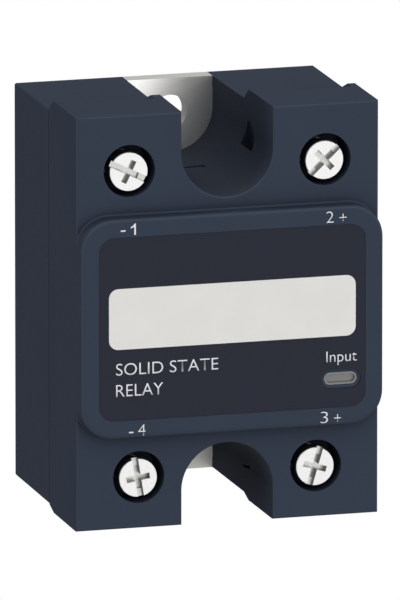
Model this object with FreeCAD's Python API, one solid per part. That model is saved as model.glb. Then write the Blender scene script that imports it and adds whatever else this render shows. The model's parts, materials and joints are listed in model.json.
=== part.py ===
import FreeCAD, Part
import math
import os

# Panel-mount solid state relay with a d.c. output, upright: +X right, +Y back, +Z up, in millimetres.
# The origin is the middle of the base plate's back face, which bolts to a heat sink.
# Depths grow towards the front, so a depth of d is at y = -d.

V = FreeCAD.Vector

# --- outer sizes ---
WIDTH = 45.0
HALF_WIDTH = WIDTH / 2
REAR_HALF_HEIGHT = 29.1
COVER_TOP = 30.85
COVER_BOTTOM = -29.85
PARTING_DEPTH = 18.7
CREST_DEPTH = 21.1
FRONT_DEPTH = 33.3
PANEL_RAISE = 2.7
PANEL_DEPTH = FRONT_DEPTH + PANEL_RAISE
PANEL_TOP = 16.25
PANEL_BOTTOM = -15.95
PANEL_CORNER = 4.8
EDGE_ROUND = 0.3
PANEL_EDGE_ROUND = 0.6
PANEL_FOOT_ROUND = 0.2

# --- mounting slots and base plate ---
SLOT_HALF_WIDTH = 6.78
SLOT_CENTRE = 24.85
SLOT_BACK_HALF_WIDTH = 6.38
SLOT_BACK_CENTRE = 24.6
SLOT_RUN_OUT = 5.0
PLATE_THICKNESS = 2.8
PLATE_HALF_WIDTH = 21.0
PLATE_HALF_HEIGHT = 27.6
PLATE_CORNER = 1.0
MOUNT_PITCH = 47.6
MOUNT_CENTRE = 0.3
MOUNT_HOLE_RADIUS = 2.55

# --- walls and hollows of the two mouldings ---
CAVITY_HALF_WIDTH = 20.8
CAVITY_HALF_HEIGHT = 16.2
PANEL_CAVITY_HALF_HEIGHT = 14.2
COVER_WALL_FRONT = 1.7
PANEL_WALL_FRONT = 2.1
LOBE_POCKET_INNER = 8.4
LOBE_POCKET_LOW = 17.9
LOBE_POCKET_HIGH = 27.4
LOBE_POCKET_DEPTH = 12.6
LIP_WIDTH = 0.8
LIP_LENGTH = 1.5
LIP_PLAY = 0.1
TAB_PLAY = 0.1
SEAM_WIDTH = 0.16
SEAM_GROOVE = 0.1

# --- catches between the two mouldings ---
TONGUE_RADIUS = 2.0
TONGUE_DEPTH = 13.7
TONGUE_LOW = 17.0
TONGUE_HIGH = 19.5
TONGUE_PLAY = 0.7
CATCH_OUTLINE = (
    (18.3, 21.0),
    (18.4, 22.3),
    (20.7, 26.2),
    (22.2, 26.2),
    (23.4, 25.4),
    (24.1, 24.0),
    (23.9, 21.0),
)
CATCH_SILL = 22.7
CATCH_FOOT = 21.1
CATCH_HIGH = 26.4
CATCH_REACH = 1.1
NOTCH_OUTLINE = ((18.2, -25.5), (18.2, -25.2), (21.8, -24.65), (21.8, -25.05))
NOTCH_REACH = 1.1

# --- terminals: number, x, z, and the angle of the driver slot when at rest ---
TERMINALS = (
    (1, -14.55, 22.48, -26.0),
    (2, 14.55, 22.48, 43.4),
    (3, 13.2, -22.53, 73.5),
    (4, -13.2, -22.53, 99.2),
)
OUTPUT_NUMBERS = (1, 2)
WELL_RADIUS = 3.82
WELL_DEPTH = 27.4
WELL_LIFT = 0.2
SHANK_HOLE_RADIUS = 2.25
CHAMBER_HALF_WIDTH = 4.7
CHAMBER_HALF_HEIGHT = 4.1
CHAMBER_FRONT_DEPTH = 26.5
CHAMBER_BACK_DEPTH = 14.1

# --- wire funnels at the ends of the lobes ---
FUNNEL_MOUTH_INNER = 7.9
FUNNEL_MOUTH_OUTER = 21.55
FUNNEL_MOUTH_FRONT = 23.45
FUNNEL_MOUTH_BACK = 16.3
FUNNEL_THROAT_HALF_WIDTH = 3.7
FUNNEL_THROAT_FRONT = 22.8
FUNNEL_THROAT_BACK = 16.75
FUNNEL_THROAT_LEVEL = 27.2
FUNNEL_RISE = 0.15

# --- screw clamps ---
FRAME_HALF_WIDTH = 4.6
FRAME_HALF_HEIGHT = 4.0
FRAME_SIDE = 1.0
FRAME_FRONT_DEPTH = 26.4
FRAME_NUT_DEPTH = 24.0
FRAME_FLOOR_DEPTH = 15.4
FRAME_BACK_DEPTH = 14.2
FRAME_CORNER = 0.6
THREAD_RADIUS = 1.95
THREAD_ROOT_RADIUS = 1.6
THREAD_PITCH = 0.7
THREAD_FLAT = 0.1
NUT_RADIUS = 2.0
HEAD_RADIUS = 2.87
HEAD_TOP_DEPTH = 32.95
HEAD_THICKNESS = 1.9
HEAD_BEVEL = 0.1
SLOT_WIDTH = 0.9
SLOT_DEPTH = 0.75
SLOT_OVERRUN = 1.0
CROSS_HALF_LENGTH = 1.75
CROSS_WIDTH = 0.85
CROSS_DEPTH = 1.2
PAD_FRONT_DEPTH = 22.9
PAD_THICKNESS = 1.8
PAD_HALF_WIDTH = 3.3
PAD_HALF_HEIGHT = 3.5
PAD_RECESS_RADIUS = 2.0
PAD_RECESS_DEPTH = 0.8
PAD_HOLE_RADIUS = 1.25
SPIGOT_RADIUS = 1.2
SPIGOT_PLAY = 0.05
RIVET_RADIUS = 1.7
RIVET_THICKNESS = 0.6

# --- conductors ---
BAR_THICKNESS = 1.4
BAR_HALF_WIDTH = 3.2
BAR_DEPTH = FRAME_FLOOR_DEPTH + BAR_THICKNESS
BAR_END = 25.9
BAR_PLAY = 0.1
RISER_OUTER = 15.4
RISER_FOOT = 4.0
INPUT_BAR_INNER = 12.6

# --- power stage ---
CERAMIC_HALF_WIDTH = 18.5
CERAMIC_LOW = -6.0
CERAMIC_HIGH = 15.6
CERAMIC_DEPTH = PLATE_THICKNESS + 0.9
COPPER_DEPTH = CERAMIC_DEPTH + 0.3
CHIP_DEPTH = COPPER_DEPTH + 0.35
CLIP_TOP_DEPTH = CHIP_DEPTH + 1.2
CLIP_THICKNESS = 0.5
COPPER_MARGIN = 0.6
COPPER_GAP = 1.0
CHIP_X = 7.2
CHIP_ROWS = (2.0, 7.2)
CHIP_WIDTH = 6.0
CHIP_HEIGHT = 4.0
CLIP_WIDTH = 2.2
CLIP_LEFT = -5.0
CLIP_RIGHT = 8.6
CLIP_CHIP_FOOT = 3.2
CLIP_COPPER_FOOT = 1.8
SURGE_Z = 11.25
SURGE_LENGTH = 7.2
SURGE_WIDTH = 4.7
SURGE_BODY = 2.4
SURGE_LIFT = 0.2
SURGE_LEG_LENGTH = 1.8
SURGE_LEG_WIDTH = 2.7
GEL_DEPTH = 8.6

# --- control board ---
BOARD_BACK_DEPTH = 13.8
BOARD_FRONT_DEPTH = 15.4
BOARD_HALF_WIDTH = 19.6
BOARD_LOW = -15.9
BOARD_HIGH = 7.0
PIN_SIDE = 0.64
PIN_TAIL = 0.6
PIN_SPOTS = ((-15.0, -3.0), (-12.46, -3.0), (-15.0, 3.0), (13.0, -3.0))

# --- parts on the board: places are (x, z), sizes are (length, width, height) ---
LEG_PITCH = 2.54
COUPLER_PLACE = (-1.0, -3.0)
COUPLER_BODY = (6.4, 8.6, 2.4)
COUPLER_LIFT = 0.3
COUPLER_LEG = (1.6, 0.6, 1.3)
COUPLER_LEG_REACH = 3.9
DRIVER_PLACE = (-11.5, 2.2)
DRIVER_BODY = (5.0, 4.0, 1.45)
DRIVER_LIFT = 0.15
DRIVER_LEG = (0.42, 1.2, 0.7)
DRIVER_LEG_REACH = 2.4
RESISTOR_X = 6.0
RESISTOR_LOW = -12.3
RESISTOR_PITCH = 3.1
RESISTOR_SIZE = (3.2, 1.6, 0.6)
DIODE_PLACE = (-4.5, -12.0)
DIODE_BODY = (4.3, 2.6, 2.0)
DIODE_LIFT = 0.1
DIODE_LEADS = (5.2, 1.5, 0.9)
REGULATOR_PLACE = (0.6, -12.2)
REGULATOR_BODY = (4.5, 2.9, 1.5)
REGULATOR_TAB = (1.8, 0.8, 0.4)
REGULATOR_TAB_REACH = 1.8
REGULATOR_LEG = (0.45, 1.2, 0.4)
REGULATOR_LEG_PITCH = 1.5
REGULATOR_LEG_REACH = 2.0
CAPACITOR_PLACES = ((-9.6, -3.6), (-6.8, -3.6))
CAPACITOR_SIZE = (2.0, 1.25, 1.0)

# --- label, light pipe and its pocket ---
FILM_WIDTH = 39.7
FILM_HEIGHT = 26.9
FILM_CORNER = 2.3
FILM_CENTRE = 0.15
FILM_RECESS = 0.25
FILM_THICKNESS = 0.2
FILM_PLAY = 0.02
MARKING_WIDTH = 36.7
MARKING_HEIGHT = 8.9
MARKING_CORNER = 1.4
MARKING_CENTRE = 1.65
MARKING_THICKNESS = 0.1
LED_X = 16.2
LED_Z = -9.1
PIPE_LENGTH = 4.9
PIPE_HEIGHT = 1.8
PIPE_SINK = 0.2
PIPE_RIM = 0.28
PIPE_TRAY = 0.45
PIPE_PLAY = 0.05
POCKET_LENGTH = 5.9
POCKET_HEIGHT = 2.9
POCKET_WAY = 1.0
LED_BODY_DEPTH = 17.6
LED_BASE = (3.2, 1.6, 1.0)
LED_DOME = (2.2, 1.4, 0.3)
PIPE_LED_GAP = 0.4
FLANGE_REACH = 0.8
FLANGE_CORNER = 0.6
FLANGE_THICKNESS = 1.2


# ---------------------------------------------------------------- helpers
def block(x, y, z):
    """A box between pairs of limits, in any order."""
    low = V(min(x), min(y), min(z))
    return Part.makeBox(max(x) - low.x, max(y) - low.y, max(z) - low.z, low)


def about(middle, half):
    """The two limits that lie half either side of middle."""
    return (middle - half, middle + half)


def between(depth, other):
    """The y limits of two depths."""
    return (-depth, -other)


def rod(radius, y, x=0.0, z=0.0):
    """A cylinder along Y between two y limits."""
    return Part.makeCylinder(radius, max(y) - min(y), V(x, min(y), z), V(0, 1, 0))


def prism(face, y):
    """A face in the XZ plane carried from one y limit to the other."""
    moved = face.copy()
    moved.translate(V(0, min(y), 0))
    return moved.extrude(V(0, max(y) - min(y), 0))


def rounded(width, height, corner, x=0.0, z=0.0):
    """A rectangle with round corners in the XZ plane."""
    half_w = width / 2
    half_h = height / 2
    inner_w = half_w - corner
    inner_h = half_h - corner
    step = corner * (1 - math.sqrt(0.5))
    edges = []
    for sx, sz in ((1, 1), (-1, 1), (-1, -1), (1, -1)):
        side = V(sx * half_w, 0, sz * inner_h)
        middle = V(sx * (half_w - step), 0, sz * (half_h - step))
        end = V(sx * inner_w, 0, sz * half_h)
        start, stop = (side, end) if sx * sz > 0 else (end, side)
        edges.append(Part.Arc(start, middle, stop).toShape())
    for index in range(4):
        after = edges[(index + 1) % 4]
        begin = edges[index].valueAt(edges[index].LastParameter)
        finish = after.valueAt(after.FirstParameter)
        if begin.distanceToPoint(finish) > 1e-6:
            edges.append(Part.LineSegment(begin, finish).toShape())
    face = Part.Face(Part.Wire(Part.__sortEdges__(edges)))
    face.translate(V(x, 0, z))
    return face


def stadium(length, height, x, z):
    """A rectangle with fully round ends in the XZ plane."""
    return rounded(length, height, height / 2 - 1e-4, x, z)


def slot_wire(sign, depth):
    """The outline of a mounting slot at a depth; the moulding's draft narrows it to the back."""
    share = depth / FRONT_DEPTH
    half = SLOT_BACK_HALF_WIDTH + share * (SLOT_HALF_WIDTH - SLOT_BACK_HALF_WIDTH)
    centre = sign * (SLOT_BACK_CENTRE + share * (SLOT_CENTRE - SLOT_BACK_CENTRE))
    outer = sign * (COVER_TOP + SLOT_RUN_OUT)
    arc = Part.Arc(
        V(-half, -depth, centre),
        V(0, -depth, centre - sign * half),
        V(half, -depth, centre),
    ).toShape()
    corners = (
        V(half, -depth, centre),
        V(half, -depth, outer),
        V(-half, -depth, outer),
        V(-half, -depth, centre),
    )
    lines = [Part.LineSegment(a, b).toShape() for a, b in zip(corners, corners[1:])]
    return Part.Wire([arc] + lines)


def cut_slots(shape):
    """Cut both mounting slots, open at the top and at the bottom, through a shape."""
    for sign in (1, -1):
        ends = [slot_wire(sign, PANEL_DEPTH), slot_wire(sign, 0.0)]
        shape = shape.cut(Part.makeLoft(ends, True, True))
    return shape


def edges_at_depth(shape, depth):
    """The edges that lie wholly in the plane at a depth."""
    found = []
    for edge in shape.Edges:
        box = edge.BoundBox
        if abs(box.YMin + depth) < 1e-4 and abs(box.YMax + depth) < 1e-4:
            found.append(edge)
    return found


def joined(shapes):
    """One solid from several that touch or overlap."""
    first = shapes[0]
    return first.multiFuse(list(shapes[1:])).removeSplitter()


def save(name, shape):
    """Write a node's solid, or a group of separate solids."""
    if not shape.isValid():
        raise ValueError(name + " is not a valid solid")
    shape.exportStep(os.path.join("parts", name + ".step"))
    print(name, len(shape.Solids), "solids", round(shape.Volume, 2), "mm3")


# ---------------------------------------------------------------- mouldings
def cover_block():
    """The cover's outer form: a side profile with sloping shoulders, carried across the width."""
    profile = (
        (PARTING_DEPTH, -REAR_HALF_HEIGHT),
        (PARTING_DEPTH, REAR_HALF_HEIGHT),
        (CREST_DEPTH, COVER_TOP),
        (FRONT_DEPTH, COVER_TOP),
        (FRONT_DEPTH, COVER_BOTTOM),
        (CREST_DEPTH, COVER_BOTTOM),
        (PARTING_DEPTH, -REAR_HALF_HEIGHT),
    )
    wire = Part.makePolygon([V(-HALF_WIDTH, -depth, z) for depth, z in profile])
    return Part.Face(wire).extrude(V(WIDTH, 0, 0))


def raised_panel():
    """The panel on the front of the cover, as wide as the cover, rooted in its front wall."""
    height = PANEL_TOP - PANEL_BOTTOM
    face = rounded(WIDTH, height, PANEL_CORNER, z=(PANEL_TOP + PANEL_BOTTOM) / 2)
    panel = prism(face, between(PANEL_DEPTH, FRONT_DEPTH - COVER_WALL_FRONT))
    return panel.makeFillet(PANEL_EDGE_ROUND, edges_at_depth(panel, PANEL_DEPTH))


def panel_foot():
    """A small sloping fillet round the foot of the raised panel."""
    height = PANEL_TOP - PANEL_BOTTOM
    middle = (PANEL_TOP + PANEL_BOTTOM) / 2
    grow = PANEL_FOOT_ROUND
    wide = rounded(WIDTH + 2 * grow, height + 2 * grow, PANEL_CORNER + grow, z=middle)
    narrow = rounded(WIDTH, height, PANEL_CORNER, z=middle)
    wide.translate(V(0, -FRONT_DEPTH, 0))
    narrow.translate(V(0, -FRONT_DEPTH - grow, 0))
    foot = Part.makeLoft([wide.OuterWire, narrow.OuterWire], True, True)
    limits = block(about(0, HALF_WIDTH), between(PANEL_DEPTH, FRONT_DEPTH), (COVER_BOTTOM, COVER_TOP))
    return foot.common(limits)


def funnel(x, z):
    """The tapered mouth that leads a wire from the end of a lobe into its clamp."""
    side = math.copysign(1, x)
    sign = math.copysign(1, z)
    end = COVER_TOP if sign > 0 else -COVER_BOTTOM
    mouth_x = sorted((side * FUNNEL_MOUTH_INNER, side * FUNNEL_MOUTH_OUTER))
    throat_x = about(x, FUNNEL_THROAT_HALF_WIDTH)
    mouth = ring(mouth_x, (-FUNNEL_MOUTH_FRONT, -FUNNEL_MOUTH_BACK), sign * (end + FUNNEL_RISE))
    throat_y = (-FUNNEL_THROAT_FRONT, -FUNNEL_THROAT_BACK)
    throat = ring(throat_x, throat_y, sign * FUNNEL_THROAT_LEVEL)
    taper = Part.makeLoft([mouth, throat], True, True)
    neck = block(throat_x, throat_y, (z, sign * FUNNEL_THROAT_LEVEL))
    return joined([taper, neck])


def ring(x, y, z):
    """A closed rectangular wire at one height."""
    corners = [V(x[0], y[0], z), V(x[1], y[0], z), V(x[1], y[1], z), V(x[0], y[1], z)]
    return Part.makePolygon(corners + corners[:1])


def chamber(x, z):
    """The hollow that holds a clamp frame."""
    return block(
        about(x, CHAMBER_HALF_WIDTH),
        between(CHAMBER_FRONT_DEPTH, CHAMBER_BACK_DEPTH),
        about(z, CHAMBER_HALF_HEIGHT),
    )


def tongue(sign, play):
    """The cover's round-ended tongue at the foot of a mounting slot, or the recess for it."""
    centre = TONGUE_DEPTH + TONGUE_RADIUS
    height = TONGUE_HIGH - TONGUE_LOW
    low = min(sign * TONGUE_LOW, sign * TONGUE_HIGH)
    end = Part.makeCylinder(TONGUE_RADIUS + play, height, V(0, -centre, low), V(0, 0, 1))
    root = block(about(0, TONGUE_RADIUS), between(PARTING_DEPTH, centre), (low, low + height))
    limits = block(
        about(0, TONGUE_RADIUS),
        between(PARTING_DEPTH, TONGUE_DEPTH - play),
        (low, low + height),
    )
    return joined([root, end]).common(limits)


def bar_tab(x, z):
    """The cover's tab that closes the rear moulding's notch above a terminal bar."""
    sign = math.copysign(1, z)
    return block(
        about(x, BAR_HALF_WIDTH),
        between(PARTING_DEPTH, BAR_DEPTH + TAB_PLAY),
        (sign * (CAVITY_HALF_HEIGHT + TAB_PLAY), z - sign * (CHAMBER_HALF_HEIGHT + TAB_PLAY)),
    )


def side_pocket(side, outline, reach):
    """A pocket of even depth in the wall of a mounting slot, from its (depth, z) outline."""
    inner = side * (SLOT_HALF_WIDTH - reach)
    points = [V(inner, -depth, z) for depth, z in outline]
    face = Part.Face(Part.makePolygon(points + points[:1]))
    return face.extrude(V(side * 2 * reach, 0, 0))


def catch(side):
    """A catch window in the wall of the upper slot, deepest at its foot."""
    window = side_pocket(side, CATCH_OUTLINE, CATCH_REACH)
    inner = side * (SLOT_HALF_WIDTH - CATCH_REACH)
    deep = side * (SLOT_HALF_WIDTH + CATCH_REACH)
    shallow = side * SLOT_HALF_WIDTH
    corners = [
        V(inner, -PANEL_DEPTH, CATCH_SILL),
        V(deep, -PANEL_DEPTH, CATCH_FOOT),
        V(shallow, -PANEL_DEPTH, CATCH_HIGH),
        V(inner, -PANEL_DEPTH, CATCH_HIGH),
    ]
    wedge = Part.Face(Part.makePolygon(corners + corners[:1])).extrude(V(0, PANEL_DEPTH, 0))
    return window.common(wedge)


def light_pocket():
    """The bevelled pocket in the panel face and the way for the light pipe behind it."""
    wide = stadium(POCKET_LENGTH, POCKET_HEIGHT, LED_X, LED_Z)
    close = stadium(PIPE_LENGTH + 2 * PIPE_PLAY, PIPE_HEIGHT + 2 * PIPE_PLAY, LED_X, LED_Z)
    way = prism(close, between(PANEL_DEPTH, PANEL_DEPTH - PANEL_WALL_FRONT - POCKET_WAY))
    wide.translate(V(0, -PANEL_DEPTH, 0))
    close.translate(V(0, -PANEL_DEPTH + PIPE_SINK + FILM_RECESS, 0))
    bevel = Part.makeLoft([wide.OuterWire, close.OuterWire], True, True)
    return joined([bevel, way])


def film_face(grow=0.0):
    """The outline of the dark label film."""
    width = FILM_WIDTH + 2 * grow
    height = FILM_HEIGHT + 2 * grow
    return rounded(width, height, FILM_CORNER + grow, z=FILM_CENTRE)


def front_cover():
    """The front moulding: lobes with screw wells, raised panel, lip and tongues."""
    cover = cut_slots(cover_block())
    cover = cover.makeFillet(EDGE_ROUND, edges_at_depth(cover, FRONT_DEPTH))
    cover = joined([cover, raised_panel(), panel_foot()])
    deep = block(
        about(0, CAVITY_HALF_WIDTH),
        between(PANEL_DEPTH - PANEL_WALL_FRONT, PARTING_DEPTH),
        about(0, PANEL_CAVITY_HALF_HEIGHT),
    )
    shallow = block(
        about(0, CAVITY_HALF_WIDTH),
        between(FRONT_DEPTH - COVER_WALL_FRONT, PARTING_DEPTH),
        about(0, CAVITY_HALF_HEIGHT),
    )
    cover = cover.cut(joined([deep, shallow]))
    for _, x, z, _ in TERMINALS:
        cover = cover.cut(rod(WELL_RADIUS, between(PANEL_DEPTH, WELL_DEPTH), x, z + WELL_LIFT))
        cover = cover.cut(rod(SHANK_HOLE_RADIUS, between(PANEL_DEPTH, PARTING_DEPTH), x, z))
        cover = cover.cut(chamber(x, z))
        cover = cover.cut(funnel(x, z))
    tabs = [bar_tab(x, z) for _, x, z, _ in TERMINALS]
    tongues = [cut_slots(tongue(sign, 0)) for sign in (1, -1)]
    cover = joined([cover, lip()] + tabs + tongues)
    for side in (1, -1):
        notch = side_pocket(side, NOTCH_OUTLINE, NOTCH_REACH)
        cover = cover.cut(catch(side)).cut(notch)
    recess = prism(film_face(), between(PANEL_DEPTH, PANEL_DEPTH - FILM_RECESS))
    return cover.cut(recess).cut(light_pocket())


def lip():
    """The locating lip that stands into the rear moulding."""
    y = between(PARTING_DEPTH + LIP_LENGTH, PARTING_DEPTH - LIP_LENGTH)
    outer_w = CAVITY_HALF_WIDTH - LIP_PLAY
    outer_h = CAVITY_HALF_HEIGHT - LIP_PLAY
    outer = block(about(0, outer_w), y, about(0, outer_h))
    root = block(
        about(0, CAVITY_HALF_WIDTH),
        between(PARTING_DEPTH + LIP_LENGTH, PARTING_DEPTH),
        about(0, CAVITY_HALF_HEIGHT),
    )
    inner = block(about(0, outer_w - LIP_WIDTH), y, about(0, outer_h - LIP_WIDTH))
    return joined([outer, root]).cut(inner)


def rear_case():
    """The rear moulding: side walls, clamp chambers and the seat of the base plate."""
    case = block(
        about(0, HALF_WIDTH),
        between(PARTING_DEPTH, 0),
        about(0, REAR_HALF_HEIGHT),
    )
    upright = [e for e in case.Edges if e.BoundBox.YLength > 1]
    case = case.makeFillet(EDGE_ROUND, upright)
    case = cut_slots(case)
    case = case.cut(seam_groove())
    case = case.cut(plate_blank())
    case = case.cut(
        block(
            about(0, CAVITY_HALF_WIDTH),
            between(PARTING_DEPTH, PLATE_THICKNESS),
            about(0, CAVITY_HALF_HEIGHT),
        )
    )
    for _, x, z, _ in TERMINALS:
        side = math.copysign(1, x)
        sign = math.copysign(1, z)
        pocket = block(
            (side * LOBE_POCKET_INNER, side * CAVITY_HALF_WIDTH),
            between(LOBE_POCKET_DEPTH, PLATE_THICKNESS),
            (sign * LOBE_POCKET_LOW, sign * LOBE_POCKET_HIGH),
        )
        bar_way = block(
            about(x, BAR_HALF_WIDTH + BAR_PLAY),
            between(PARTING_DEPTH, FRAME_FLOOR_DEPTH),
            (sign * CAVITY_HALF_HEIGHT, z),
        )
        case = case.cut(pocket).cut(chamber(x, z)).cut(bar_way).cut(funnel(x, z))
    for sign in (1, -1):
        case = case.cut(tongue(sign, TONGUE_PLAY))
    for side in (1, -1):
        notch = side_pocket(side, NOTCH_OUTLINE, NOTCH_REACH)
        case = case.cut(catch(side)).cut(notch)
    return case


def seam_groove():
    """A fine groove round the joint line of the two mouldings."""
    y = between(PARTING_DEPTH, PARTING_DEPTH - SEAM_WIDTH)
    outer = block(about(0, WIDTH), y, about(0, WIDTH))
    inner = block(
        about(0, HALF_WIDTH - SEAM_GROOVE),
        y,
        about(0, REAR_HALF_HEIGHT - SEAM_GROOVE),
    )
    return outer.cut(inner)


def plate_blank():
    """The base plate before drilling: a rectangle with a tab in each mounting slot."""
    y = between(PLATE_THICKNESS, 0)
    body = prism(rounded(2 * PLATE_HALF_WIDTH, 2 * PLATE_HALF_HEIGHT, PLATE_CORNER), y)
    tabs = block(about(0, SLOT_BACK_HALF_WIDTH), y, about(0, REAR_HALF_HEIGHT))
    return joined([body, tabs])


def base_plate():
    """The metal plate that carries the heat to the sink, with its two mounting holes."""
    plate = plate_blank()
    for sign in (1, -1):
        z = MOUNT_CENTRE + sign * MOUNT_PITCH / 2
        plate = plate.cut(rod(MOUNT_HOLE_RADIUS, between(PLATE_THICKNESS, 0), z=z))
    return plate


# ---------------------------------------------------------------- screw clamps
def clamp_frame(x, z):
    """A box-shaped clamp frame, open along Z, with a threaded front wall."""
    outer = block(
        about(x, FRAME_HALF_WIDTH),
        between(FRAME_FRONT_DEPTH, FRAME_BACK_DEPTH),
        about(z, FRAME_HALF_HEIGHT),
    )
    long_edges = [e for e in outer.Edges if e.BoundBox.ZLength > 1]
    outer = outer.makeFillet(FRAME_CORNER, long_edges)
    inner = block(
        about(x, FRAME_HALF_WIDTH - FRAME_SIDE),
        between(FRAME_NUT_DEPTH, FRAME_FLOOR_DEPTH),
        about(z, FRAME_HALF_HEIGHT),
    )
    hole = rod(NUT_RADIUS, between(FRAME_FRONT_DEPTH, FRAME_NUT_DEPTH), x, z)
    return outer.cut(inner).cut(hole)


def clamp_plate(x, z):
    """The pressure plate that hangs on the screw's tip and bears on the wire."""
    back = PAD_FRONT_DEPTH - PAD_THICKNESS
    plate = block(
        about(x, PAD_HALF_WIDTH),
        between(PAD_FRONT_DEPTH, back),
        about(z, PAD_HALF_HEIGHT),
    )
    recess = rod(PAD_RECESS_RADIUS, between(back + PAD_RECESS_DEPTH, back), x, z)
    hole = rod(PAD_HOLE_RADIUS, between(PAD_FRONT_DEPTH, back), x, z)
    return plate.cut(recess).cut(hole)


def screw_profile(x, z):
    """Half the screw's section, with the thread as rings one pitch apart."""
    points = [(0, HEAD_TOP_DEPTH)]
    points.append((HEAD_RADIUS - HEAD_BEVEL, HEAD_TOP_DEPTH))
    points.append((HEAD_RADIUS, HEAD_TOP_DEPTH - HEAD_BEVEL))
    under = HEAD_TOP_DEPTH - HEAD_THICKNESS
    points.append((HEAD_RADIUS, under))
    points.append((THREAD_ROOT_RADIUS, under))
    tip = PAD_FRONT_DEPTH + SPIGOT_PLAY
    turns = int((under - tip) / THREAD_PITCH)
    for turn in range(turns):
        start = tip + (turns - turn) * THREAD_PITCH
        points.append((THREAD_ROOT_RADIUS, start))
        points.append((THREAD_RADIUS, start - (0.5 - THREAD_FLAT / 2) * THREAD_PITCH))
        points.append((THREAD_RADIUS, start - (0.5 + THREAD_FLAT / 2) * THREAD_PITCH))
    points.append((THREAD_ROOT_RADIUS, tip))
    points.append((SPIGOT_RADIUS, tip))
    rivet = PAD_FRONT_DEPTH - PAD_THICKNESS + PAD_RECESS_DEPTH - SPIGOT_PLAY
    points.append((SPIGOT_RADIUS, rivet))
    points.append((RIVET_RADIUS, rivet))
    points.append((RIVET_RADIUS, rivet - RIVET_THICKNESS))
    points.append((0, rivet - RIVET_THICKNESS))
    points.append(points[0])
    return Part.Face(Part.makePolygon([V(x + r, -depth, z) for r, depth in points]))


def terminal_screw(x, z, angle):
    """A terminal screw with a straight slot and a cross recess in its head."""
    screw = screw_profile(x, z).revolve(V(x, 0, z), V(0, 1, 0), 360)
    slot = block(
        about(x, HEAD_RADIUS + SLOT_OVERRUN),
        between(HEAD_TOP_DEPTH, HEAD_TOP_DEPTH - SLOT_DEPTH),
        about(z, SLOT_WIDTH / 2),
    )
    cross_y = between(HEAD_TOP_DEPTH, HEAD_TOP_DEPTH - CROSS_DEPTH)
    along = block(about(x, CROSS_HALF_LENGTH), cross_y, about(z, CROSS_WIDTH / 2))
    across = block(about(x, CROSS_WIDTH / 2), cross_y, about(z, CROSS_HALF_LENGTH))
    recess = joined([slot, along, across])
    recess.rotate(V(x, 0, z), V(0, 1, 0), -angle)
    return screw.cut(recess)


# ---------------------------------------------------------------- conductors
def output_terminal(x, z):
    """A copper bar from the power stage up to a clamp: foot, riser and tongue."""
    foot = block(
        about(x, BAR_HALF_WIDTH),
        between(COPPER_DEPTH + BAR_THICKNESS, COPPER_DEPTH),
        (RISER_OUTER - BAR_THICKNESS - RISER_FOOT, RISER_OUTER),
    )
    riser = block(
        about(x, BAR_HALF_WIDTH),
        between(BAR_DEPTH, COPPER_DEPTH),
        (RISER_OUTER - BAR_THICKNESS, RISER_OUTER),
    )
    return joined([foot, riser, terminal_tongue(x, z, RISER_OUTER - BAR_THICKNESS)])


def terminal_tongue(x, z, inner):
    """The flat end of a terminal bar, which lies on the floor of the clamp frame."""
    sign = math.copysign(1, z)
    return block(
        about(x, BAR_HALF_WIDTH),
        between(BAR_DEPTH, FRAME_FLOOR_DEPTH),
        (sign * inner, sign * BAR_END),
    )


# ---------------------------------------------------------------- power stage
def ceramic_substrate():
    """The ceramic tile that insulates the power stage from the base plate."""
    return block(
        about(0, CERAMIC_HALF_WIDTH),
        between(CERAMIC_DEPTH, PLATE_THICKNESS),
        (CERAMIC_LOW, CERAMIC_HIGH),
    )


def copper_pad(x, z):
    """One copper area on the ceramic."""
    return block(x, between(COPPER_DEPTH, CERAMIC_DEPTH), z)


def substrate_copper():
    """The three copper areas: supply side, return side and gate."""
    low = CERAMIC_LOW + COPPER_MARGIN
    high = CERAMIC_HIGH - COPPER_MARGIN
    outer = CERAMIC_HALF_WIDTH - COPPER_MARGIN
    gap = COPPER_GAP / 2
    supply = copper_pad((gap, outer), (low, high))
    back = copper_pad((-outer, -gap), (gap, high))
    gate = copper_pad((-outer, -gap), (low, -gap))
    return Part.makeCompound([supply, back, gate])


def power_transistors():
    """Two power transistor chips soldered to the supply copper."""
    x = about(CHIP_X, CHIP_WIDTH / 2)
    y = between(CHIP_DEPTH, COPPER_DEPTH)
    return Part.makeCompound([block(x, y, about(row, CHIP_HEIGHT / 2)) for row in CHIP_ROWS])


def source_clips():
    """Two bent copper clips from the chips to the return copper."""
    clips = []
    back_of_bridge = CLIP_TOP_DEPTH - CLIP_THICKNESS
    for row in CHIP_ROWS:
        z = about(row, CLIP_WIDTH / 2)
        bridge = block((CLIP_LEFT, CLIP_RIGHT), between(CLIP_TOP_DEPTH, back_of_bridge), z)
        on_chip = block(
            (CLIP_RIGHT - CLIP_CHIP_FOOT, CLIP_RIGHT),
            between(CLIP_TOP_DEPTH, CHIP_DEPTH),
            z,
        )
        on_copper = block(
            (CLIP_LEFT, CLIP_LEFT + CLIP_COPPER_FOOT),
            between(CLIP_TOP_DEPTH, COPPER_DEPTH),
            z,
        )
        clips.append(joined([bridge, on_chip, on_copper]))
    return Part.makeCompound(clips)


def surge_diode():
    """The block that clamps voltage peaks, across the two copper areas."""
    seat = COPPER_DEPTH + SURGE_LIFT
    half = SURGE_LENGTH / 2
    pieces = [
        block(about(0, half), between(seat + SURGE_BODY, seat), about(SURGE_Z, SURGE_WIDTH / 2))
    ]
    for side in (-1, 1):
        pieces.append(
            block(
                (side * half, side * (half - SURGE_LEG_LENGTH)),
                between(seat, COPPER_DEPTH),
                about(SURGE_Z, SURGE_LEG_WIDTH / 2),
            )
        )
    return joined(pieces)


def board_pins():
    """The square pins that join the board to the copper below it."""
    y = between(BOARD_FRONT_DEPTH + PIN_TAIL, COPPER_DEPTH)
    half = PIN_SIDE / 2
    return Part.makeCompound([block(about(x, half), y, about(z, half)) for x, z in PIN_SPOTS])


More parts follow.
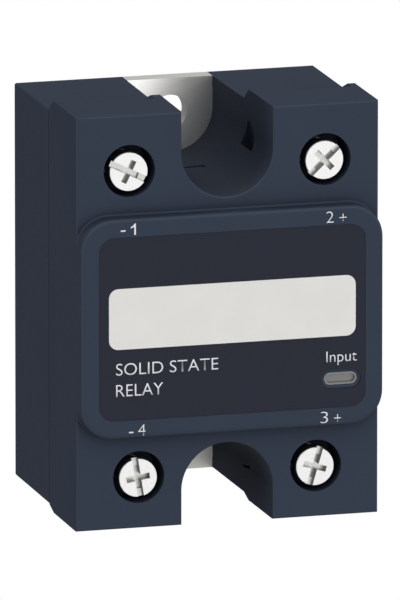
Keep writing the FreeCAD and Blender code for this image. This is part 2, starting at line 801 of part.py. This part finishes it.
def silicone_gel(buried):
    """The soft fill over the power stage, cut round everything that it covers."""
    gel = block(
        about(0, CAVITY_HALF_WIDTH),
        between(GEL_DEPTH, PLATE_THICKNESS),
        about(0, CAVITY_HALF_HEIGHT),
    )
    return gel.cut(joined(buried)).removeSplitter()


# ---------------------------------------------------------------- control board
def circuit_board():
    """The control board, with square holes for the pins."""
    board = block(
        about(0, BOARD_HALF_WIDTH),
        between(BOARD_FRONT_DEPTH, BOARD_BACK_DEPTH),
        (BOARD_LOW, BOARD_HIGH),
    )
    return board.cut(board_pins())


def on_board(place, size, lift=0.0):
    """A block on the front of the board; size is its length, its width and its height."""
    x, z = place
    length, width, height = size
    seat = BOARD_FRONT_DEPTH + lift
    return block(about(x, length / 2), between(seat + height, seat), about(z, width / 2))


def optocoupler():
    """The six-legged coupler that separates input from output."""
    x, z = COUPLER_PLACE
    parts = [on_board(COUPLER_PLACE, COUPLER_BODY, lift=COUPLER_LIFT)]
    for side in (-1, 1):
        for row in (-1, 0, 1):
            leg = (x + side * COUPLER_LEG_REACH, z + row * LEG_PITCH)
            parts.append(on_board(leg, COUPLER_LEG))
    return joined(parts)


def gate_driver():
    """The eight-legged driver chip."""
    x, z = DRIVER_PLACE
    parts = [on_board(DRIVER_PLACE, DRIVER_BODY, lift=DRIVER_LIFT)]
    for side in (-1, 1):
        for row in (-1.5, -0.5, 0.5, 1.5):
            leg = (x + row * LEG_PITCH / 2, z + side * DRIVER_LEG_REACH)
            parts.append(on_board(leg, DRIVER_LEG))
    return joined(parts)


def input_resistors():
    """Three chip resistors in the input path."""
    column = [(RESISTOR_X, RESISTOR_LOW + row * RESISTOR_PITCH) for row in range(3)]
    return Part.makeCompound([on_board(place, RESISTOR_SIZE) for place in column])


def input_diode():
    """The diode that guards against reversed input leads."""
    body = on_board(DIODE_PLACE, DIODE_BODY, lift=DIODE_LIFT)
    return joined([body, on_board(DIODE_PLACE, DIODE_LEADS)])


def current_regulator():
    """The flat transistor that holds the input current steady."""
    x, z = REGULATOR_PLACE
    parts = [on_board(REGULATOR_PLACE, REGULATOR_BODY)]
    parts.append(on_board((x, z + REGULATOR_TAB_REACH), REGULATOR_TAB))
    for step in (-1, 0, 1):
        leg = (x + step * REGULATOR_LEG_PITCH, z - REGULATOR_LEG_REACH)
        parts.append(on_board(leg, REGULATOR_LEG))
    return joined(parts)


def board_capacitors():
    """Two chip capacitors beside the driver."""
    return Part.makeCompound([on_board(place, CAPACITOR_SIZE) for place in CAPACITOR_PLACES])


def status_led():
    """The light source under the light pipe."""
    place = (LED_X, LED_Z)
    base = on_board(place, LED_BASE)
    seat = BOARD_FRONT_DEPTH + LED_BASE[2]
    width, height, corner = LED_DOME
    dome = prism(rounded(width, height, corner, LED_X, LED_Z), between(LED_BODY_DEPTH, seat))
    return joined([base, dome])


def led_light_pipe():
    """The clear bar that carries the light to the front, with a shallow tray in its end."""
    face = stadium(PIPE_LENGTH, PIPE_HEIGHT, LED_X, LED_Z)
    foot = rounded(
        PIPE_LENGTH + 2 * FLANGE_REACH,
        PIPE_HEIGHT + 2 * FLANGE_REACH,
        FLANGE_CORNER,
        LED_X,
        LED_Z,
    )
    seat = PANEL_DEPTH - PANEL_WALL_FRONT
    front = PANEL_DEPTH - FILM_RECESS - PIPE_SINK
    tray_face = stadium(PIPE_LENGTH - 2 * PIPE_RIM, PIPE_HEIGHT - 2 * PIPE_RIM, LED_X, LED_Z)
    tray = prism(tray_face, between(front, front - PIPE_TRAY))
    bar = prism(face, between(front, LED_BODY_DEPTH + PIPE_LED_GAP)).cut(tray)
    flange = prism(foot, between(seat, seat - FLANGE_THICKNESS))
    return joined([bar, flange])


# ---------------------------------------------------------------- labels
def legend_film():
    """The dark printed film in its recess, open over the light pipe."""
    back = PANEL_DEPTH - FILM_RECESS
    film = prism(film_face(-FILM_PLAY), between(back + FILM_THICKNESS, back))
    hole = stadium(POCKET_LENGTH, POCKET_HEIGHT, LED_X, LED_Z)
    return film.cut(prism(hole, between(PANEL_DEPTH, back)))


def marking_label():
    """The white write-on label."""
    back = PANEL_DEPTH - FILM_RECESS + FILM_THICKNESS
    face = rounded(MARKING_WIDTH, MARKING_HEIGHT, MARKING_CORNER, z=MARKING_CENTRE)
    return prism(face, between(back + MARKING_THICKNESS, back))


# ---------------------------------------------------------------- the whole
def save_clamps():
    """The frame, pressure plate, screw and bar of each terminal."""
    bars = []
    for number, x, z, angle in TERMINALS:
        save("clamp_frame_%d" % number, clamp_frame(x, z))
        save("clamp_plate_%d" % number, clamp_plate(x, z))
        save("terminal_screw_%d" % number, terminal_screw(x, z, angle))
        if number in OUTPUT_NUMBERS:
            bar = output_terminal(x, z)
            save("output_terminal_%d" % number, bar)
        else:
            bar = terminal_tongue(x, z, INPUT_BAR_INNER)
            save("input_terminal_%d" % number, bar)
        bars.append(bar)
    return bars


def save_power_stage(bars):
    """The tile, its copper, chips, clips and surge block, and the gel over them."""
    stage = {
        "ceramic_substrate": ceramic_substrate(),
        "substrate_copper": substrate_copper(),
        "power_transistors": power_transistors(),
        "source_clips": source_clips(),
        "surge_diode": surge_diode(),
        "board_pins": board_pins(),
    }
    for name, shape in stage.items():
        save(name, shape)
    save("silicone_gel", silicone_gel(list(stage.values()) + bars))


def main():
    os.makedirs("parts", exist_ok=True)
    save("base_plate", base_plate())
    save("rear_case", rear_case())
    save("front_cover", front_cover())
    save("legend_film", legend_film())
    save("marking_label", marking_label())
    save("led_light_pipe", led_light_pipe())
    save("status_led", status_led())
    save("circuit_board", circuit_board())
    save("optocoupler", optocoupler())
    save("gate_driver", gate_driver())
    save("input_resistors", input_resistors())
    save("input_diode", input_diode())
    save("current_regulator", current_regulator())
    save("board_capacitors", board_capacitors())
    save_power_stage(save_clamps())


main()
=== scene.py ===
import json
import math
import bpy
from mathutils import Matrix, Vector


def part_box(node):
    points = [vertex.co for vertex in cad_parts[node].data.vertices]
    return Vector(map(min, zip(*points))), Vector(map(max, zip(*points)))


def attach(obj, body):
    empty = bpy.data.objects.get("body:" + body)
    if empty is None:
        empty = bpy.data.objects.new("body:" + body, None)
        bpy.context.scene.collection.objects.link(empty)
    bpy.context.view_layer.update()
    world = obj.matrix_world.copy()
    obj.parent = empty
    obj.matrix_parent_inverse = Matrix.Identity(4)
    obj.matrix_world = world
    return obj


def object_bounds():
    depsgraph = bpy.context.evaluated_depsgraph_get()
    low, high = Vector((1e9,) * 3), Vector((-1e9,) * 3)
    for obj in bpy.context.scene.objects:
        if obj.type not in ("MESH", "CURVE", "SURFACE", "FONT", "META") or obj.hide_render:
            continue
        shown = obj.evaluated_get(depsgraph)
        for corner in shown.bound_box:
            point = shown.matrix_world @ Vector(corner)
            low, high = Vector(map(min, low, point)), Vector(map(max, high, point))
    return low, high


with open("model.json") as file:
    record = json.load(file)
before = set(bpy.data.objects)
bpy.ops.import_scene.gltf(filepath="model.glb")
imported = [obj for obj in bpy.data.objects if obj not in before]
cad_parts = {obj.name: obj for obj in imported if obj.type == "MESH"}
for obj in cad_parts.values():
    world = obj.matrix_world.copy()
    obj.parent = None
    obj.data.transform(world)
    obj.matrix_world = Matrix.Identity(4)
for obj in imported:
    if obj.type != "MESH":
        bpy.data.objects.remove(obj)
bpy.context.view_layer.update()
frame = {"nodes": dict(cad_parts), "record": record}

MM = 0.001


# ---------------------------------------------------------------- colour
def linear(value):
    """One sRGB level from 0 to 255 as a linear number."""
    share = value / 255
    return share / 12.92 if share <= 0.04045 else ((share + 0.055) / 1.055) ** 2.4


def srgb(red, green, blue):
    """An sRGB colour as a linear RGBA."""
    return (linear(red), linear(green), linear(blue), 1.0)


def shade(colour, factor):
    """The same colour, lighter or darker."""
    return (colour[0] * factor, colour[1] * factor, colour[2] * factor, 1.0)


HOUSING = srgb(56, 64, 79)
# The paler colour of the housing's front edge rounds is a painted highlight.
PAINTED_EDGE_HIGHLIGHT = srgb(62, 70, 84)
HEAD_FACE = srgb(189, 189, 189)
# Darker colours for the screw head's slot and recess floor: painted shade.
SHADED_SLOT_FLOOR = srgb(166, 166, 164)
SHADED_RECESS_FLOOR = srgb(168, 168, 165)
INK = srgb(236, 238, 242)
BOARD_MASK = srgb(18, 88, 46)
BOARD_MASK_PALE = srgb(22, 98, 52)
BOARD_TRACK = srgb(46, 128, 74)


# ---------------------------------------------------------------- material helpers
def new_material(name, colour, roughness, metallic=0.0, specular=0.5):
    """A material with a plain Principled shader, ready for texture nodes."""
    mat = bpy.data.materials.new(name)
    mat.use_nodes = True
    shader = mat.node_tree.nodes["Principled BSDF"]
    shader.inputs["Base Color"].default_value = colour
    shader.inputs["Roughness"].default_value = roughness
    shader.inputs["Metallic"].default_value = metallic
    shader.inputs["Specular IOR Level"].default_value = specular
    return mat


def shader_of(mat):
    return mat.node_tree.nodes["Principled BSDF"]


def node(mat, kind, **inputs):
    """A new node with some of its inputs set."""
    made = mat.node_tree.nodes.new(kind)
    for name, value in inputs.items():
        made.inputs[name.replace("_", " ")].default_value = value
    return made


def wire(mat, source, output, target, entry):
    mat.node_tree.links.new(source.outputs[output], target.inputs[entry])


def object_place(mat, stretch=(1, 1, 1)):
    """Object coordinates, stretched so that a pattern can run one way."""
    place = node(mat, "ShaderNodeTexCoord")
    mapping = node(mat, "ShaderNodeMapping", Scale=stretch)
    wire(mat, place, "Object", mapping, "Vector")
    return mapping


def noise(mat, per_mm, detail=3.0, stretch=(1, 1, 1)):
    """Noise with about per_mm features to a millimetre."""
    texture = node(mat, "ShaderNodeTexNoise", Scale=per_mm / MM, Detail=detail)
    wire(mat, object_place(mat, stretch), "Vector", texture, "Vector")
    return texture


def spread(mat, source, low, high, start=0.35, end=0.65):
    """Map a texture's middle values onto a range."""
    ramp = node(mat, "ShaderNodeMapRange", From_Min=start, From_Max=end, To_Min=low, To_Max=high)
    wire(mat, source, "Fac", ramp, "Value")
    return ramp


def vary_colour(mat, source, dark, light, start=0.3, end=0.7):
    """Mix two shades of the base colour by a texture."""
    ramp = node(mat, "ShaderNodeValToRGB")
    ramp.color_ramp.elements[0].position = start
    ramp.color_ramp.elements[0].color = dark
    ramp.color_ramp.elements[1].position = end
    ramp.color_ramp.elements[1].color = light
    wire(mat, source, "Fac", ramp, "Fac")
    wire(mat, ramp, "Color", shader_of(mat), "Base Color")


def vary_roughness(mat, source, low, high):
    wire(mat, spread(mat, source, low, high), "Result", shader_of(mat), "Roughness")


def bump(mat, source, depth_mm, strength):
    """Relief of about depth_mm from a texture."""
    relief = node(mat, "ShaderNodeBump", Strength=strength, Distance=depth_mm * MM)
    wire(mat, source, "Fac", relief, "Height")
    wire(mat, relief, "Normal", shader_of(mat), "Normal")


def maths(mat, operation, *numbers):
    """A maths node; a number that is None is left for a wire."""
    made = node(mat, "ShaderNodeMath")
    made.operation = operation
    for entry, value in enumerate(numbers):
        if value is not None:
            made.inputs[entry].default_value = value
    return made


def split_axes(mat, output):
    """The X, Y and Z of one of the texture coordinates."""
    place = node(mat, "ShaderNodeTexCoord")
    axes = node(mat, "ShaderNodeSeparateXYZ")
    wire(mat, place, output, axes, "Vector")
    return axes


def facing_share(mat, low, high):
    """1 where the Y of a face's direction lies between two limits, 0 elsewhere."""
    band = maths(mat, "COMPARE", None, (low + high) / 2, (high - low) / 2)
    wire(mat, split_axes(mat, "Normal"), "Y", band, 0)
    return band


MIX_SHARE = 0
MIX_FIRST = 6
MIX_SECOND = 7
MIX_COLOUR = 2


def mix_colours(mat, share, plain, other):
    """Blend a node's colour into a fixed one; a colour mix is wired by socket number."""
    mix = node(mat, "ShaderNodeMix")
    mix.data_type = "RGBA"
    wire(mat, share, "Value", mix, MIX_SHARE)
    wire(mat, plain, "Color", mix, MIX_FIRST)
    mix.inputs[MIX_SECOND].default_value = other
    return mix


# ---------------------------------------------------------------- materials
UP_BRUSHED = (1, 1, 0.04)
ACROSS_BRUSHED = (0.04, 1, 1)
LIGHTLY_BRUSHED = (0.15, 1, 1)
UNBRUSHED = (1, 1, 1)
# Limits of a face's Y direction on the front edge rounds that get the painted highlight.
FRONT_ROUNDS = (-0.93, -0.6)
CUT_EDGES = (-0.3, 0.3)
CUT_EDGE_ROUGHNESS = 0.3
SATIN_START = -20 * MM
SATIN_END = -27 * MM
SATIN_ROUGHNESS = 0.4
# Painted shade in the housing's hollows: how far it looks, how dark it gets, and the openness at
# which it is full and at which it begins.
HOLLOW_REACH = 20 * MM
HOLLOW_SHADE = 0.68
HOLLOW_FULL = 0.5
HOLLOW_START = 0.9
RECESS_DEPTH = 1.2 * MM
RECESS_GRAIN = 0.16
# Depths down a screw head's recess at which the face colour and the painted shade's colours sit.
FACE_LEVEL = 0.2
SLOT_LEVEL = 0.6
FLOOR_LEVEL = 1.0
GRAIN_START = 0.7
GRAIN_FULL = 0.8


def moulded_plastic(name, colour, roughness, specular=0.5):
    """Plastic moulded against a finely eroded tool: fine grain and very faint cloudy flow."""
    mat = new_material(name, colour, roughness, specular=specular)
    vary_colour(mat, noise(mat, per_mm=0.08, detail=4.0), shade(colour, 0.975), shade(colour, 1.025))
    vary_roughness(mat, noise(mat, per_mm=2.5), roughness - 0.03, roughness + 0.03)
    bump(mat, noise(mat, per_mm=9.0, detail=2.0), depth_mm=0.006, strength=0.5)
    return mat


def paint_hollow_shade(mat, source, output):
    """Darken a colour where the faces around it shut out much of the open side: painted shade in the
    hollows.
    """
    openness = node(mat, "ShaderNodeAmbientOcclusion", Distance=HOLLOW_REACH)
    dusk = node(
        mat,
        "ShaderNodeMapRange",
        From_Min=HOLLOW_FULL,
        From_Max=HOLLOW_START,
        To_Min=HOLLOW_SHADE,
    )
    wire(mat, openness, "AO", dusk, "Value")
    scale = node(mat, "ShaderNodeVectorMath")
    scale.operation = "SCALE"
    wire(mat, source, output, scale, 0)
    wire(mat, dusk, "Result", scale, "Scale")
    return scale


def housing_plastic():
    """The housing's plastic, with a painted highlight on its front edge rounds and painted shade in
    its hollows.
    """
    mat = moulded_plastic("housing_plastic", HOUSING, 0.6, specular=0.06)
    shader = shader_of(mat)
    plain = shader.inputs["Base Color"].links[0].from_node
    # Painted highlight: faces turned towards the front between two limits get the paler colour.
    highlighted_edges = mix_colours(mat, facing_share(mat, *FRONT_ROUNDS), plain, PAINTED_EDGE_HIGHLIGHT)
    # Painted shade darkens the colour in the hollows.
    wire(mat, paint_hollow_shade(mat, highlighted_edges, MIX_COLOUR), "Vector", shader, "Base Color")
    return mat


def printed_film(name, colour, roughness, specular):
    """Polyester film with a fine matt emboss."""
    mat = new_material(name, colour, roughness, specular=specular)
    vary_colour(mat, noise(mat, per_mm=0.2), shade(colour, 0.985), shade(colour, 1.015))
    bump(mat, noise(mat, per_mm=14.0, detail=1.0), depth_mm=0.003, strength=0.4)
    return mat


def plated_metal(name, colour, roughness, stretch, per_mm=4.0, depth=0.0003):
    """Plated metal with faint brush lines along the axis whose stretch is small."""
    mat = new_material(name, colour, roughness, metallic=1.0)
    lines = noise(mat, per_mm, detail=4.0, stretch=stretch)
    vary_colour(mat, lines, shade(colour, 0.985), shade(colour, 1.01))
    vary_roughness(mat, lines, roughness - 0.01, roughness + 0.02)
    bump(mat, lines, depth, strength=0.3)
    return mat


def base_plate_finish():
    """The base plate's plating, more satin over its lower tab and rough on its cut edges."""
    mat = plated_metal("nickel_plate", srgb(240, 239, 236), 0.29, LIGHTLY_BRUSHED, depth=0.0001)
    satin = node(
        mat,
        "ShaderNodeMapRange",
        From_Min=SATIN_START,
        From_Max=SATIN_END,
        To_Max=SATIN_ROUGHNESS,
    )
    wire(mat, split_axes(mat, "Object"), "Z", satin, "Value")
    brushed = shader_of(mat).inputs["Roughness"].links[0].from_node
    face = maths(mat, "ADD")
    wire(mat, brushed, "Result", face, 0)
    wire(mat, satin, "Result", face, 1)
    total = maths(mat, "MULTIPLY_ADD", None, CUT_EDGE_ROUGHNESS)
    wire(mat, facing_share(mat, *CUT_EDGES), "Value", total, 0)
    wire(mat, face, "Value", total, 2)
    wire(mat, total, "Value", shader_of(mat), "Roughness")
    return mat


def recess_level(mat, head_front, grain):
    """How far down a head's recess a point lies, from 0 to 1, made uneven near the floor."""
    floor = head_front + RECESS_DEPTH
    sink = node(mat, "ShaderNodeMapRange", From_Min=head_front, From_Max=floor)
    wire(mat, split_axes(mat, "Object"), "Y", sink, "Value")
    near_floor = node(mat, "ShaderNodeMapRange", From_Min=GRAIN_START, From_Max=GRAIN_FULL)
    wire(mat, sink, "Result", near_floor, "Value")
    uneven = maths(mat, "MULTIPLY")
    wire(mat, spread(mat, grain, -RECESS_GRAIN, RECESS_GRAIN), "Result", uneven, 0)
    wire(mat, near_floor, "Result", uneven, 1)
    level = maths(mat, "ADD")
    wire(mat, sink, "Result", level, 0)
    wire(mat, uneven, "Value", level, 1)
    return level


def screw_finish(head_front):
    """Bright plating on the head's face, darker down its slot and cross recess as painted shade, and
    grainy in its cross recess.
    """
    mat = new_material("bright_nickel", HEAD_FACE, 0.34, metallic=1.0)
    grain = noise(mat, per_mm=4.0)
    # The colour darkens from the head's face down to its slot and recess floors: painted shade.
    tone = node(mat, "ShaderNodeValToRGB")
    stops = tone.color_ramp.elements
    stops[0].position = FACE_LEVEL
    stops[0].color = HEAD_FACE
    stops[1].position = FLOOR_LEVEL
    stops[1].color = SHADED_RECESS_FLOOR
    slot_stop = stops.new(SLOT_LEVEL)
    slot_stop.color = SHADED_SLOT_FLOOR
    wire(mat, recess_level(mat, head_front, grain), "Value", tone, "Fac")
    wire(mat, tone, "Color", shader_of(mat), "Base Color")
    vary_roughness(mat, noise(mat, per_mm=6.0), 0.3, 0.38)
    bump(mat, grain, depth_mm=0.001, strength=0.5)
    return mat


def clear_plastic(name, colour):
    """The smoky clear plastic of the light pipe."""
    mat = new_material(name, colour, 0.32)
    vary_roughness(mat, noise(mat, per_mm=1.5), 0.29, 0.36)
    shader_of(mat).inputs["Transmission Weight"].default_value = 0.35
    shader_of(mat).inputs["IOR"].default_value = 1.49
    return mat


def circuit_material():
    """Green solder mask with paler lines where tracks run under it."""
    mat = new_material("board_green", BOARD_MASK, 0.35)
    tracks = node(mat, "ShaderNodeTexBrick", Scale=1 / MM)
    tracks.inputs["Color1"].default_value = BOARD_MASK
    tracks.inputs["Color2"].default_value = BOARD_MASK_PALE
    tracks.inputs["Mortar"].default_value = BOARD_TRACK
    tracks.inputs["Mortar Size"].default_value = 0.12
    tracks.inputs["Brick Width"].default_value = 2.6
    tracks.inputs["Row Height"].default_value = 1.3
    turned = object_place(mat)
    turned.inputs["Rotation"].default_value = (math.pi / 2, 0, 0)
    wire(mat, turned, "Vector", tracks, "Vector")
    wire(mat, tracks, "Color", shader_of(mat), "Base Color")
    bump(mat, noise(mat, per_mm=5.0), depth_mm=0.01, strength=0.3)
    return mat


def soft_gel():
    """Cloudy silicone gel."""
    mat = new_material("silicone", srgb(196, 198, 200), 0.3)
    vary_roughness(mat, noise(mat, per_mm=0.4), 0.22, 0.4)
    shader_of(mat).inputs["Transmission Weight"].default_value = 0.4
    bump(mat, noise(mat, per_mm=0.3), depth_mm=0.15, strength=0.5)
    return mat


def make_materials():
    """Every finish, under the name of the record's slot that it stands for."""
    return {
        "housing": housing_plastic(),
        "film": printed_film("dark_film", srgb(42, 45, 57), 0.5, 0.08),
        "marking": printed_film("white_label", srgb(236, 235, 231), 0.6, 0.1),
        "light_pipe": clear_plastic("smoky_pipe", srgb(145, 145, 146)),
        "plate_metal": base_plate_finish(),
        "screw_steel": screw_finish(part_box("terminal_screw_1")[0].y),
        "frame_steel": plated_metal("zinc_plate", srgb(184, 184, 180), 0.34, ACROSS_BRUSHED),
        "bar_copper": plated_metal("tinned_copper", srgb(206, 196, 186), 0.3, UP_BRUSHED),
        "copper": plated_metal("bare_copper", srgb(204, 122, 84), 0.32, UNBRUSHED),
        "ceramic": moulded_plastic("white_ceramic", srgb(232, 232, 224), 0.35),
        "chip": moulded_plastic("black_compound", srgb(26, 26, 28), 0.45),
        "silicon": plated_metal("silicon", srgb(96, 98, 112), 0.2, UNBRUSHED),
        "board": circuit_material(),
        "resistor": moulded_plastic("chip_resistor", srgb(24, 24, 28), 0.3),
        "capacitor": moulded_plastic("chip_capacitor", srgb(150, 118, 84), 0.45),
        "led": moulded_plastic("milky_lens", srgb(226, 226, 204), 0.25),
        "gel": soft_gel(),
    }


def dress_nodes(finishes):
    """Give every CAD node its finish."""
    slots = {row["node"]: row["material_slot"] for row in frame["record"]["subparts"]}
    for name, thing in frame["nodes"].items():
        thing.data.materials.clear()
        thing.data.materials.append(finishes[slots[name]])


# ---------------------------------------------------------------- printed legends
INK_THICKNESS = 0.015 * MM
LETTER_LIFT = 0.004 * MM
WORD_THINNING = 0.006
DIGIT_THINNING = 0.015
DIGIT_HEIGHT = 1.68
DIGIT_WIDTH = 1.1
ONE_WIDTH = 0.75
CURVE_STEPS = 6
ONE_OUTLINE = (
    (0.67, 0.0),
    (1.0, 0.0),
    (1.0, 2.4),
    (0.76, 2.4),
    (0.48, 2.0),
    (0.0, 1.7),
    (0.0, 1.37),
    (0.38, 1.54),
    (0.67, 1.78),
)


def flat_mesh(name, outline):
    """A flat mesh with one outline."""
    mesh = bpy.data.meshes.new(name)
    mesh.from_pydata([(x, y, 0) for x, y in outline], [], [range(len(outline))])
    return mesh


def text_mesh(text):
    """The outline of a text as a flat mesh."""
    if text == "1":
        return flat_mesh("one", ONE_OUTLINE)
    curve = bpy.data.curves.new("letters", "FONT")
    curve.body = text
    curve.resolution_u = CURVE_STEPS
    curve.offset = -DIGIT_THINNING if len(text) == 1 else -WORD_THINNING
    holder = bpy.data.objects.new("letters", curve)
    bpy.context.scene.collection.objects.link(holder)
    graph = bpy.context.evaluated_depsgraph_get()
    mesh = bpy.data.meshes.new_from_object(holder.evaluated_get(graph))
    bpy.data.objects.remove(holder)
    return mesh


def print_legend(name, text, left, base, width, height, front, ink):
    """Print a text on a face that looks to -Y, filling a box given in millimetres."""
    mesh = text_mesh(text)
    low_x = min(v.co.x for v in mesh.vertices)
    high_x = max(v.co.x for v in mesh.vertices)
    low_y = min(v.co.y for v in mesh.vertices)
    high_y = max(v.co.y for v in mesh.vertices)
    for v in mesh.vertices:
        across = (v.co.x - low_x) / (high_x - low_x)
        up = (v.co.y - low_y) / (high_y - low_y)
        x = (left + across * width) * MM
        z = (base + up * height) * MM
        v.co = Vector((x, front - LETTER_LIFT - INK_THICKNESS, z))
    mesh.materials.clear()
    mesh.materials.append(ink)
    piece = bpy.data.objects.new(name, mesh)
    bpy.context.scene.collection.objects.link(piece)
    thicken = piece.modifiers.new("ink", "SOLIDIFY")
    thicken.thickness = INK_THICKNESS
    thicken.offset = 0
    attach(piece, "housing")


# Each legend's name, text, left edge and base; signs and words add a width and a height.
# All of it is in millimetres, in the relay's own frame.
DIGITS = (
    ("legend_1", "1", -15.1, 13.9),
    ("legend_2", "2", 13.95, 13.9),
    ("legend_3", "3", 13.15, -15.5),
    ("legend_4", "4", -14.05, -15.6),
)
SIGNS = (
    ("legend_1_minus", "-", -16.6, 14.45, 0.72, 0.22),
    ("legend_2_plus", "+", 15.9, 14.05, 1.1, 1.1),
    ("legend_3_plus", "+", 15.15, -15.4, 1.05, 1.1),
    ("legend_4_minus", "-", -15.4, -15.15, 0.66, 0.22),
)
WORDS = (
    ("legend_input", "Input", 14.0, -7.1, 4.55, 2.1),
    ("legend_type_upper", "SOLID STATE", -17.3, -6.6, 15.2, 1.75),
    ("legend_type_lower", "RELAY", -17.3, -9.7, 7.0, 1.75),
)


def print_all(ink):
    """The terminal numbers and signs on the cover, and the words on the film."""
    cover_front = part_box("front_cover")[0].y
    film_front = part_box("legend_film")[0].y
    for name, text, left, base in DIGITS:
        width = ONE_WIDTH if text == "1" else DIGIT_WIDTH
        print_legend(name, text, left, base, width, DIGIT_HEIGHT, cover_front, ink)
    for name, text, left, base, width, height in SIGNS:
        print_legend(name, text, left, base, width, height, cover_front, ink)
    for name, text, left, base, width, height in WORDS:
        print_legend(name, text, left, base, width, height, film_front, ink)


# ---------------------------------------------------------------- stage, light and camera
FLOOR_DROP = 3.0
FLOOR_HALF = 30.0
SKY = Vector((-0.1, -0.4, 0.91)).normalized()
FADE_START = -0.3
FADE_END = 0.7
ROOM_DARK = 0.08
ROOM_BRIGHT = 0.82
WHITE = (1.0, 1.0, 1.0, 1.0)
FLOOR_GREY = (0.3, 0.3, 0.3, 1.0)


def camera_only(tree, seen, lit, target):
    """Show one shader straight to the camera and light the object with the other."""
    path = tree.nodes.new("ShaderNodeLightPath")
    mix = tree.nodes.new("ShaderNodeMixShader")
    tree.links.new(path.outputs["Is Camera Ray"], mix.inputs[0])
    tree.links.new(lit.outputs[0], mix.inputs[1])
    tree.links.new(seen.outputs[0], mix.inputs[2])
    tree.links.new(mix.outputs[0], target)


def floor_material():
    """A floor that the camera sees as even white, and that throws little light back up."""
    mat = bpy.data.materials.new("floor_white")
    mat.use_nodes = True
    tree = mat.node_tree
    glow = tree.nodes.new("ShaderNodeEmission")
    shader = tree.nodes["Principled BSDF"]
    shader.inputs["Base Color"].default_value = FLOOR_GREY
    shader.inputs["Roughness"].default_value = 1.0
    shader.inputs["Specular IOR Level"].default_value = 0.0
    camera_only(tree, glow, shader, tree.nodes["Material Output"].inputs["Surface"])
    return mat


def make_floor():
    """A pale floor below the relay, which hangs from its mount."""
    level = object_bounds()[0][2] - FLOOR_DROP
    mesh = bpy.data.meshes.new("floor")
    sides = ((-1, -1), (1, -1), (1, 1), (-1, 1))
    corners = [(x * FLOOR_HALF, y * FLOOR_HALF, level) for x, y in sides]
    mesh.from_pydata(corners, [], [range(len(corners))])
    floor = bpy.data.objects.new("floor", mesh)
    bpy.context.scene.collection.objects.link(floor)
    mesh.materials.append(floor_material())


def area_light(name, place, size, radiance):
    """A square soft box that faces the relay, with the given brightness of its face."""
    data = bpy.data.lights.new(name, "AREA")
    data.shape = "SQUARE"
    data.size = size
    data.energy = math.pi * size * size * radiance
    lamp = bpy.data.objects.new(name, data)
    lamp.location = place
    lamp.rotation_euler = (-Vector(place)).to_track_quat("-Z", "Y").to_euler()
    bpy.context.scene.collection.objects.link(lamp)


def make_world():
    """A white room to the camera; its light comes from above and in front and fades behind."""
    world = bpy.data.worlds.new("studio")
    world.use_nodes = True
    tree = world.node_tree
    room = tree.nodes["Background"]
    place = tree.nodes.new("ShaderNodeTexCoord")
    lean = tree.nodes.new("ShaderNodeVectorMath")
    lean.operation = "DOT_PRODUCT"
    lean.inputs[1].default_value = SKY
    fade = tree.nodes.new("ShaderNodeMapRange")
    fade.interpolation_type = "SMOOTHSTEP"
    fade.inputs["From Min"].default_value = FADE_START
    fade.inputs["From Max"].default_value = FADE_END
    fade.inputs["To Min"].default_value = ROOM_DARK
    fade.inputs["To Max"].default_value = ROOM_BRIGHT
    tree.links.new(place.outputs["Generated"], lean.inputs[0])
    tree.links.new(lean.outputs["Value"], fade.inputs["Value"])
    tree.links.new(fade.outputs["Result"], room.inputs["Strength"])
    room.inputs["Color"].default_value = WHITE
    white = tree.nodes.new("ShaderNodeBackground")
    white.inputs["Color"].default_value = WHITE
    camera_only(tree, white, room, tree.nodes["World Output"].inputs["Surface"])
    bpy.context.scene.world = world


def make_light():
    """The room, and soft boxes overhead, at the left and in front."""
    make_world()
    area_light("overhead", place=(0.24, -0.2, 0.85), size=0.3, radiance=2.5)
    area_light("left", place=(-0.86, -0.24, -0.2), size=0.3, radiance=3.6)
    area_light("front", place=(0.28, -0.99, -0.08), size=0.8, radiance=1.85)


CAMERA_AZIMUTH = math.radians(-15.75)
CAMERA_ELEVATION = math.radians(12.83)
CAMERA_DISTANCE = 2.566
AIM_DEPTH = 16 * MM
AIM_RIGHT = 0.773 * MM
AIM_UP = -0.883 * MM
VIEW_HEIGHT = 86.53 * MM
VIEW_REACH = 20.0
SENSOR = 36.0


def make_camera():
    """A long lens far off, from the upper left."""
    flat = math.cos(CAMERA_ELEVATION)
    back = Vector((
        math.sin(CAMERA_AZIMUTH) * flat,
        -math.cos(CAMERA_AZIMUTH) * flat,
        math.sin(CAMERA_ELEVATION),
    ))
    turn = back.to_track_quat("Z", "Y")
    right = turn @ Vector((1, 0, 0))
    up = turn @ Vector((0, 1, 0))
    target = Vector((0, -AIM_DEPTH, 0)) + right * AIM_RIGHT + up * AIM_UP
    data = bpy.data.cameras.new("camera")
    data.sensor_fit = "VERTICAL"
    data.sensor_height = SENSOR
    data.lens = SENSOR * CAMERA_DISTANCE / VIEW_HEIGHT
    data.clip_end = VIEW_REACH
    camera = bpy.data.objects.new("camera", data)
    camera.location = target + back * CAMERA_DISTANCE
    camera.rotation_euler = turn.to_euler()
    bpy.context.scene.collection.objects.link(camera)
    bpy.context.scene.camera = camera


dress_nodes(make_materials())
print_all(printed_film("legend_ink", INK, 0.5, 0.2))
make_floor()
make_light()
make_camera()
bpy.context.scene.view_settings.view_transform = "Standard"
